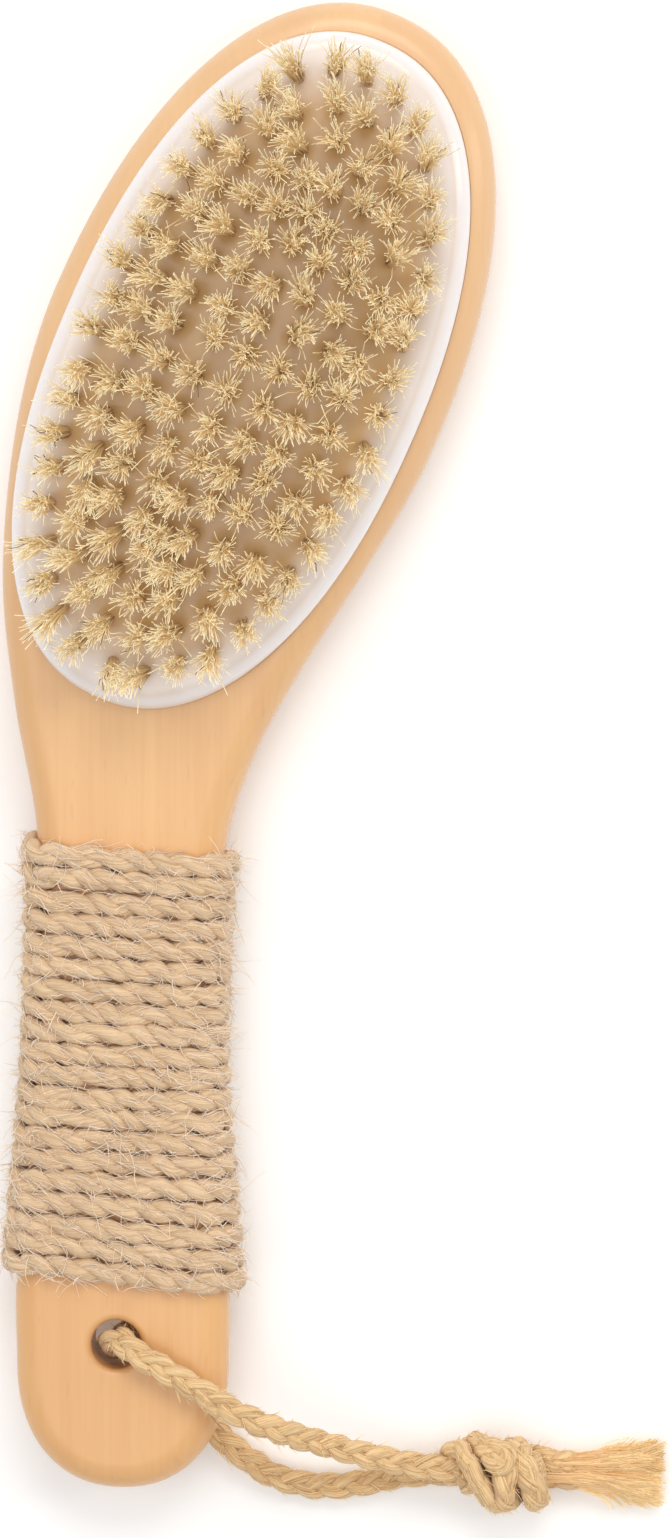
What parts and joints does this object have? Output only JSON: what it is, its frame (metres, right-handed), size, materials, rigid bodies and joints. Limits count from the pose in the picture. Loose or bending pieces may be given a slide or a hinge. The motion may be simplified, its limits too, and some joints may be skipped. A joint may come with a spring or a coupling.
{
  "type": "body dry brush",
  "caption": "Wooden body brush with a leaning oval head, soft pad of bristle tufts, twine-wrapped grip and knotted hanging cord.",
  "frame": {"origin": "middle of the brush without its cord, on the surface that it lies on", "axes": "+Y runs from the butt to the crown, +Z rises from the wooden back to the bristle tips, +X is to the right with the crown up and the bristles towards the viewer"},
  "size_m": [0.1126, 0.2574, 0.0401],
  "materials": {
    "wood": "satin",
    "pad": "glossy, milky and slightly see-through",
    "adhesive": "matt",
    "bristle": "natural bristle",
    "anchor": "plain",
    "jute": "two-ply twine",
    "cord": "three-strand plait"
  },
  "bodies": {
    "brush": {"brush_body": "wood", "pad_adhesive": "adhesive", "bristle_pad": "pad", "tufts_ring_1_left": "bristle", "tufts_ring_1_right": "bristle", "tufts_ring_2_left": "bristle", "tufts_ring_2_right": "bristle", "tufts_ring_3_left": "bristle", "tufts_ring_3_right": "bristle", "tufts_ring_4_left": "bristle", "tufts_ring_4_right": "bristle", "tufts_middle": "bristle", "anchors_ring_1_left": "anchor", "anchors_ring_1_right": "anchor", "anchors_ring_2_left": "anchor", "anchors_ring_2_right": "anchor", "anchors_ring_3_left": "anchor", "anchors_ring_3_right": "anchor", "anchors_ring_4_left": "anchor", "anchors_ring_4_right": "anchor", "anchors_middle": "anchor", "jute_wrap": "jute"},
    "hang_loop": {"hang_cord_front": "cord", "hang_cord_rear": "cord", "cord_knot": "cord", "cord_tail": "cord"}
  },
  "joints": [
    {"name": "loop_swing", "type": "hinge", "parent": "brush", "child": "hang_loop", "pos_m": [-0.02249, -0.10076, 0.012], "axis": [0, 0, 1], "range_deg": [-140, 30]}
  ]
}
